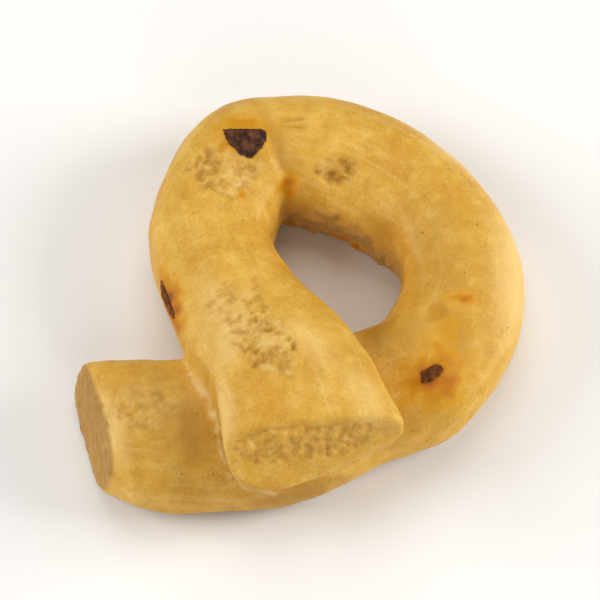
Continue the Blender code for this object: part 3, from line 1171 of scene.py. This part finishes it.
@dataclass(frozen=True)
class BakedDoughFinish:
    """Durum dough with olive oil, boiled and baked dry: a golden crust, matt with a faint satin from oil,
    finely sandy to the eye, with pinholes, blistered patches and a torn, paler crumb. Its IOR stays at the
    default of 1.5, which is close to that of oil and starch."""

    golden: str = "#DAA73C"
    mottle: Pattern = Pattern(9.0, 3.0, (Tint("#E9B952", 0.5, 0.72, 0.8), Tint("#CC922A", 0.5, 0.28, 0.7)))
    cloud: Pattern = Pattern(2.2, 4.0, (Tint("#EBC063", 0.52, 0.72, 0.5), Tint("#C68A26", 0.48, 0.28, 0.5)))
    # Rolling by hand drew the skin out along the rope, in streaks about a millimetre wide.
    streak: Pattern = Pattern(
        1.1, 2.0, (Tint("#EBC270", 0.56, 0.75, 0.4), Tint("#C98F30", 0.42, 0.25, 0.35))
    )
    streak_squash: Triple = (0.08, 1.0, 1.0)
    # Semolina is milled to about 0.3 mm; it is drawn a little coarser so that it shows.
    sand: Pattern = Pattern(0.42, 2.0, (Tint("#F0CC80", 0.58, 0.8, 0.4), Tint("#B27C20", 0.45, 0.25, 0.45)))
    # Small bubbles under the open crust, and the knife's smear of them on the lower cut.
    blotch: Pattern = Pattern(
        1.3, 3.0, (Tint("#A8741C", 0.52, 0.34, 0.7), Tint("#EFD088", 0.56, 0.75, 0.4))
    )
    # The torn crumb's fine bubbles, a little longer along the rope and from top to bottom.
    grain: Pattern = Pattern(0.8, 3.0, (Tint("#AC781C", 0.5, 0.3, 0.6), Tint("#F0C96C", 0.54, 0.7, 0.65)))
    grain_squash: Triple = (0.8, 1.0, 0.8)
    # The lower cut's face is painted browner: partly its own tone, partly painted shade.
    cut: tuple[Tint, ...] = (Tint("#AC7C36", 0.0, 1.0, 0.9),)
    cut_blotch: float = 0.75
    crumb: tuple[Tint, ...] = (Tint("#DAA440", 0.0, 1.0, 0.85),)
    # Darker patches: a deeper-baked tone and painted shade.
    deeper_and_shade: tuple[Tint, ...] = (Tint("#AE7B24", 0.0, 1.0, 0.85),)
    # Paler patches: a paler-baked tone and painted highlight.
    paler_and_highlight: tuple[Tint, ...] = (Tint("#F4D084", 0.0, 1.0, 0.65),)
    # Toast, with painted shade on faces turned down and at the arc's foot.
    toast_and_shade: tuple[Tint, ...] = (Tint("#9E7A48", 0.0, 1.0, 0.9),)
    stain: tuple[Tint, ...] = (
        Tint("#D4960A", 0.0, 0.45, 1.0),
        Tint("#BA6C00", 0.3, 0.85, 1.0),
        Tint("#824400", 0.86, 1.0, 0.8),
    )
    ground: tuple[Tint, ...] = (Tint("#C4963E", 0.2, 1.0, 0.25),)
    # Painted highlight on the ridges between the pores, inside the open patches.
    ridge_highlight: tuple[Tint, ...] = (Tint("#EECA7C", 0.3, 0.05, 0.55),)
    ridge_power: float = 3.0
    # Painted shade down the pores, the cracks and the dimple.
    pit: tuple[Tint, ...] = (Tint("#A06810", 0.25, 1.0, 0.44),)
    torn: tuple[Tint, ...] = (Tint("#E9C684", 0.1, 0.7, 0.6),)
    # Pinholes stand about 3 mm apart and are about 0.4 mm wide; their dark tint is painted shade.
    pinhole_shade: tuple[Tint, ...] = (Tint("#9A6B26", 0.0, 1.0, 0.35),)
    pinhole_mm: float = 3.0
    pinhole_reach: float = 0.06
    roughness: float = 0.55
    gloss: float = 0.3
    sand_height: float = 0.05
    cloud_height: float = 0.14
    blotch_height: float = 0.3
    grain_height: float = 0.22
    hole_depth: float = 0.12

    def material(self) -> bpy.types.Material:
        """Builds the material: mottled crust, then specks, painted shade and highlight, pores, crumb, toast
        and stains over it.

        Returns:
            The material.
        """
        material, tree, shader = new_material("durum_dough_baked_dry")
        place = add_node(tree, "ShaderNodeTexCoord", {}).outputs["Object"]
        noises = self.noises(tree, place)
        holes = self.holes(tree, place)
        marks = {
            mark: add_node(tree, "ShaderNodeAttribute", {}, attribute_name=mark.value).outputs["Fac"]
            for mark in Mark
            if mark is not Mark.ROPE
        }
        open_or_cut = add_node(
            tree,
            "ShaderNodeMath",
            {0: marks[Mark.CUT], 1: self.cut_blotch, 2: marks[Mark.OPEN]},
            operation="MULTIPLY_ADD",
        ).outputs[0]
        well_inside = add_node(
            tree, "ShaderNodeMath", {0: marks[Mark.OPEN], 1: self.ridge_power}, operation="POWER"
        ).outputs[0]
        layers = (
            (self.mottle.tints, noises["mottle"], None),
            (self.cloud.tints, noises["cloud"], None),
            (self.streak.tints, noises["streak"], None),
            (self.sand.tints, noises["sand"], None),
            # Darker patches: a deeper-baked tone and painted shade.
            (self.deeper_and_shade, marks[Mark.DEEPER_AND_SHADE], None),
            # Paler patches: a paler-baked tone and painted highlight.
            (self.paler_and_highlight, marks[Mark.PALER_AND_HIGHLIGHT], None),
            # The lower cut's face, browner partly as painted shade.
            (self.cut, marks[Mark.CUT], None),
            (self.crumb, marks[Mark.CRUMB], None),
            (self.ground, marks[Mark.OPEN], None),
            # Painted highlight on the ridges between the pores.
            (self.ridge_highlight, marks[Mark.PIT], well_inside),
            (self.blotch.tints, noises["blotch"], open_or_cut),
            (self.grain.tints, noises["grain"], marks[Mark.CRUMB]),
            # Painted shade down the pores, cracks and dimple.
            (self.pit, marks[Mark.PIT], None),
            # Toast, with painted shade on faces turned down and at the arc's foot.
            (self.toast_and_shade, marks[Mark.TOAST_AND_SHADE], None),
            (self.stain, marks[Mark.STAIN], None),
            (self.torn, marks[Mark.TORN], None),
            # Painted shade in the pinholes.
            (self.pinhole_shade, holes, None),
        )
        colour = linear(self.golden)
        for tints, value, within in layers:
            for tint in tints:
                colour = lay_tint(tree, colour, tint, value, within)
        reliefs = (
            (noises["sand"], self.sand_height, 1.0, False),
            (noises["cloud"], self.cloud_height, 1.0, False),
            (noises["blotch"], self.blotch_height, open_or_cut, False),
            (noises["grain"], self.grain_height, marks[Mark.CRUMB], False),
            (holes, self.hole_depth, 1.0, True),
        )
        below = {}
        for height, rise, strength, sunk in reliefs:
            inputs = {"Height": height, "Distance": rise * MM, "Strength": strength} | below
            below = {"Normal": add_node(tree, "ShaderNodeBump", inputs, invert=sunk).outputs[0]}
        tree.links.new(colour, shader.inputs["Base Color"])
        tree.links.new(below["Normal"], shader.inputs["Normal"])
        shader.inputs["Roughness"].default_value = self.roughness
        shader.inputs["Specular IOR Level"].default_value = self.gloss
        return material

    def noises(
        self, tree: bpy.types.NodeTree, place: bpy.types.NodeSocket
    ) -> dict[str, bpy.types.NodeSocket]:
        """Makes the crust's patterns, two of them drawn out along the rope, whose way is in millimetres.

        Args:
            tree: The material's node tree.
            place: The Object coordinates, in metres.

        Returns:
            For each pattern's name, a socket with its value.
        """
        way = add_node(tree, "ShaderNodeAttribute", {}, attribute_name=Mark.ROPE.value).outputs["Vector"]
        drawn_out, drawn_down = (
            add_node(tree, "ShaderNodeVectorMath", {0: way, 1: squash}, operation="MULTIPLY").outputs[0]
            for squash in (self.streak_squash, self.grain_squash)
        )
        patterns = {
            "mottle": (self.mottle, place, MM),
            "cloud": (self.cloud, place, MM),
            "streak": (self.streak, drawn_out, 1.0),
            "sand": (self.sand, place, MM),
            "blotch": (self.blotch, place, MM),
            "grain": (self.grain, drawn_down, 1.0),
        }
        sockets = {}
        for name, (pattern, vector, millimetre) in patterns.items():
            scale = pattern_scale(pattern.size_mm, millimetre)
            inputs = {"Vector": vector, "Scale": scale, "Detail": pattern.detail}
            sockets[name] = add_node(tree, "ShaderNodeTexNoise", inputs).outputs["Fac"]
        return sockets

    def holes(self, tree: bpy.types.NodeTree, place: bpy.types.NodeSocket) -> bpy.types.NodeSocket:
        """Sparse pinholes all over the crust.

        Args:
            tree: The material's node tree.
            place: The Object coordinates.

        Returns:
            A socket that is 1 in a hole and 0 outside.
        """
        cells = add_node(
            tree, "ShaderNodeTexVoronoi", {"Vector": place, "Scale": pattern_scale(self.pinhole_mm)}
        )
        return add_node(
            tree,
            "ShaderNodeMapRange",
            {
                "Value": cells.outputs["Distance"],
                "From Min": self.pinhole_reach,
                "From Max": self.pinhole_reach / 2,
            },
            interpolation_type="SMOOTHSTEP",
        ).outputs[0]


@dataclass(frozen=True)
class ScorchedFlakeFinish:
    """A flake of dried vegetable skin, scorched in the oven: near black, wrinkled, faintly glossy."""

    # For each degree of scorching, the skin's colour and that of its lighter spots.
    colours: dict[Scorch, tuple[str, str]] = field(
        default_factory=lambda: {
            Scorch.CHARRED: ("#371C0D", "#72452A"),
            Scorch.BROWNED: ("#522A06", "#92560C"),
        }
    )
    spots: tuple[float, float] = (0.42, 0.72)
    mottle_mm: float = 0.9
    mottle_detail: float = 3.0
    wrinkle_mm: float = 0.5
    wrinkle_detail: float = 4.0
    wrinkle_height: float = 0.08
    roughness: float = 0.8
    gloss: float = 0.25

    def material(self, scorch: Scorch) -> bpy.types.Material:
        """Builds the material for one degree of scorching.

        Args:
            scorch: How far the flake has burnt.

        Returns:
            The material.
        """
        material, tree, shader = new_material(f"vegetable_skin_{scorch.value}")
        dark, light = self.colours[scorch]
        place = add_node(tree, "ShaderNodeTexCoord", {}).outputs["Object"]
        noises = []
        for size, detail in (
            (self.mottle_mm, self.mottle_detail),
            (self.wrinkle_mm, self.wrinkle_detail),
        ):
            inputs = {"Vector": place, "Scale": pattern_scale(size), "Detail": detail}
            noises.append(add_node(tree, "ShaderNodeTexNoise", inputs).outputs["Fac"])
        mottle, wrinkle = noises
        colour = lay_tint(tree, linear(dark), Tint(light, *self.spots), mottle)
        bump = add_node(
            tree, "ShaderNodeBump", {"Height": wrinkle, "Distance": self.wrinkle_height * MM}
        )
        tree.links.new(colour, shader.inputs["Base Color"])
        tree.links.new(bump.outputs["Normal"], shader.inputs["Normal"])
        shader.inputs["Roughness"].default_value = self.roughness
        shader.inputs["Specular IOR Level"].default_value = self.gloss
        return material


@dataclass
class ScorchedFlakes(BakedPiece):
    """The flakes of one degree of scorching, pressed into the crust as one piece."""

    scorch: Scorch
    dough: Dough
    cells: int = 36
    grid_in_reaches: float = 2.2
    weld: float = 0.02
    rag_length: float = 0.7
    start_height: float = 1.5
    proud: float = -0.05
    wrinkle_depth: float = 0.1
    wrinkle_length: float = 1.1
    sharp_angle: float = 40.0

    def cut_out(self, flake: Flake) -> bpy.types.Object:
        """Cuts a flake's outline from a fine flat grid and roughens its edge.

        Args:
            flake: The flake.

        Returns:
            A flat sheet about the origin, its long side along x.
        """
        reach = max(math.hypot(*corner) for corner in flake.corners) * MM
        bpy.ops.object.select_all(action="DESELECT")
        bpy.ops.mesh.primitive_grid_add(
            x_subdivisions=self.cells, y_subdivisions=self.cells, size=self.grid_in_reaches * reach
        )
        sheet = bpy.context.active_object
        with editing(sheet):
            for corner, following in zip(flake.corners, flake.corners[1:] + flake.corners[:1]):
                run = Vector((following[0] - corner[0], following[1] - corner[1], 0.0))
                bpy.ops.mesh.select_all(action="SELECT")
                bpy.ops.mesh.bisect(
                    plane_co=Vector((*corner, 0.0)) * MM,
                    plane_no=run.cross(UP).normalized(),
                    clear_outer=True,
                )
            bpy.ops.mesh.select_all(action="SELECT")
            bpy.ops.mesh.remove_doubles(threshold=self.weld * MM)
            mesh = bmesh.from_edit_mesh(sheet.data)
            for vert in mesh.verts:
                if vert.is_boundary:
                    point = vert.co / MM + Vector(flake.centre)
                    rag = flake.ragged * noise.noise(point / self.rag_length)
                    vert.co += vert.co.normalized() * rag * MM
            bmesh.update_edit_mesh(sheet.data)
        return sheet

    def press_in(self, sheet: bpy.types.Object, flake: Flake) -> None:
        """Lays a flat flake over the crust, wraps it onto it and gives it its thickness.

        Args:
            sheet: The flat flake.
            flake: Its place and turn.
        """
        centre = Vector(flake.centre) * MM + self.dough.shift
        _, spot, normal, _ = self.dough.piece.closest_point_on_mesh(centre)
        along = Vector(flake.direction)
        along = (along - normal * along.dot(normal)).normalized()
        across = normal.cross(along)
        turn = Matrix((along, across, normal)).transposed().to_4x4()
        sheet.matrix_world = Matrix.Translation(spot + normal * self.start_height * MM) @ turn
        finish_with(
            sheet,
            "SHRINKWRAP",
            target=self.dough.piece,
            wrap_method="PROJECT",
            use_project_z=True,
            use_positive_direction=False,
            use_negative_direction=True,
            offset=self.proud * MM,
        )
        finish_with(sheet, "SOLIDIFY", thickness=flake.thickness * MM, offset=0.0)
        pick(sheet)
        bpy.ops.object.transform_apply(location=True, rotation=True, scale=True)
        for vert, normal in zip(sheet.data.vertices, [n.vector.copy() for n in sheet.data.vertex_normals]):
            rise = self.wrinkle_depth * noise.noise(vert.co / MM / self.wrinkle_length)
            vert.co += normal * rise * MM

    def build(self) -> bpy.types.Object:
        """Models the flakes and joins them to one piece.

        Returns:
            The piece.
        """
        sheets = []
        for flake in FLAKES:
            if flake.scorch is self.scorch:
                sheet = self.cut_out(flake)
                self.press_in(sheet, flake)
                sheets.append(sheet)
        pick(sheets[0])
        for sheet in sheets:
            sheet.select_set(True)
        if len(sheets) > 1:
            bpy.ops.object.join()
        self.piece = sheets[0]
        self.piece.name = f"{self.scorch.value}_flakes"
        pick(self.piece)
        bpy.ops.object.shade_smooth_by_angle(angle=math.radians(self.sharp_angle))
        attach(self.piece, BODY)
        return self.piece


@dataclass(frozen=True)
class Softbox:
    """A large soft light, aimed at the object. Its place and size are in metres."""

    name: str
    place: Triple
    size: float
    watts: float
    colour: str = "#FFFFFF"


@dataclass
class Studio:
    """A plain pale floor, soft studio light and the camera at the photograph's viewing angle."""

    elevation: float = 62.0
    lens: float = 200.0
    sensor: float = 36.0
    clip_start: float = 0.01
    # The share of the frame's side that the object's longer side takes.
    filled: float = 0.74
    floor_size: float = 3.0
    floor_colour: str = "#F6F4F0"
    floor_roughness: float = 0.9
    world_colour: str = "#FFFFFF"
    world_strength: float = 0.16
    softboxes: tuple[Softbox, ...] = (
        Softbox("key", (0.52, 0.02, 0.27), 0.28, 2.35),
        Softbox("fill", (-0.46, 0.0, 0.30), 0.32, 1.7),
        Softbox("top", (0.0, 0.26, 0.54), 0.40, 1.1),
        Softbox("front", (0.05, -0.50, 0.34), 0.36, 0.8),
    )

    def lay_floor(self) -> None:
        """Lays a floor of matt white card, which takes a soft shadow and shows no gloss."""
        bpy.ops.object.select_all(action="DESELECT")
        bpy.ops.mesh.primitive_plane_add(size=self.floor_size)
        floor = bpy.context.active_object
        floor.name = "floor"
        material, _, shader = new_material("white_card")
        shader.inputs["Base Color"].default_value = linear(self.floor_colour)
        shader.inputs["Roughness"].default_value = self.floor_roughness
        floor.data.materials.append(material)

    def set_lights(self) -> None:
        """Sets up the softboxes and an even pale surround."""
        target = self.centre()
        for box in self.softboxes:
            bpy.ops.object.light_add(type="AREA", location=box.place)
            light = bpy.context.active_object
            light.name = box.name
            light.data.size = box.size
            light.data.energy = box.watts
            light.data.color = linear(box.colour)[:3]
            light.rotation_euler = (target - Vector(box.place)).to_track_quat("-Z", "Y").to_euler()
        world = bpy.data.worlds.new("pale_surround")
        world.use_nodes = True
        background = world.node_tree.nodes["Background"]
        background.inputs["Color"].default_value = linear(self.world_colour)
        background.inputs["Strength"].default_value = self.world_strength
        bpy.context.scene.world = world

    def centre(self) -> Vector:
        """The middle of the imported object."""
        return (CAD_BOX[0] + CAD_BOX[1]) / 2

    def set_camera(self, piece: bpy.types.Object) -> None:
        """Sets the camera so far off that the object fills the wanted share of the frame.

        Args:
            piece: The piece to frame.
        """
        tilt = math.radians(self.elevation)
        back = Vector((0.0, -math.cos(tilt), math.sin(tilt)))
        right = Vector((1.0, 0.0, 0.0))
        above = back.cross(right)
        across = [vert.co.dot(right) for vert in piece.data.vertices]
        upward = [vert.co.dot(above) for vert in piece.data.vertices]
        aim = right * (min(across) + max(across)) / 2 + above * (min(upward) + max(upward)) / 2
        reach = max(max(across) - min(across), max(upward) - min(upward))
        distance = reach / self.filled * self.lens / self.sensor
        bpy.ops.object.camera_add(location=aim + back * distance)
        camera = bpy.context.active_object
        camera.rotation_euler = (-back).to_track_quat("-Z", "Y").to_euler()
        camera.data.lens = self.lens
        camera.data.sensor_width = self.sensor
        camera.data.clip_start = self.clip_start
        bpy.context.scene.camera = camera

    def build(self, piece: bpy.types.Object) -> None:
        """Sets the whole studio up round a piece.

        Args:
            piece: The piece to frame.
        """
        self.lay_floor()
        self.set_lights()
        self.set_camera(piece)
        bpy.context.scene.view_settings.view_transform = "Standard"


def report(piece: bpy.types.Object) -> None:
    """Logs a piece's name and how fine its mesh is."""
    piece.data.calc_loop_triangles()
    LOG.info("%s: %d triangles", piece.name, len(piece.data.loop_triangles))


def main() -> None:
    """Builds the dough, the flakes and the studio, in that order."""
    logging.basicConfig(level=logging.INFO, format="%(name)s: %(message)s")
    dough = Dough()
    dough.build()
    dough.dress(BakedDoughFinish().material())
    report(dough.piece)
    finish = ScorchedFlakeFinish()
    for scorch in Scorch:
        flakes = ScorchedFlakes(scorch, dough)
        flakes.build()
        flakes.dress(finish.material(scorch))
        report(flakes.piece)
    Studio().build(dough.piece)


if __name__ == "__main__":
    main()
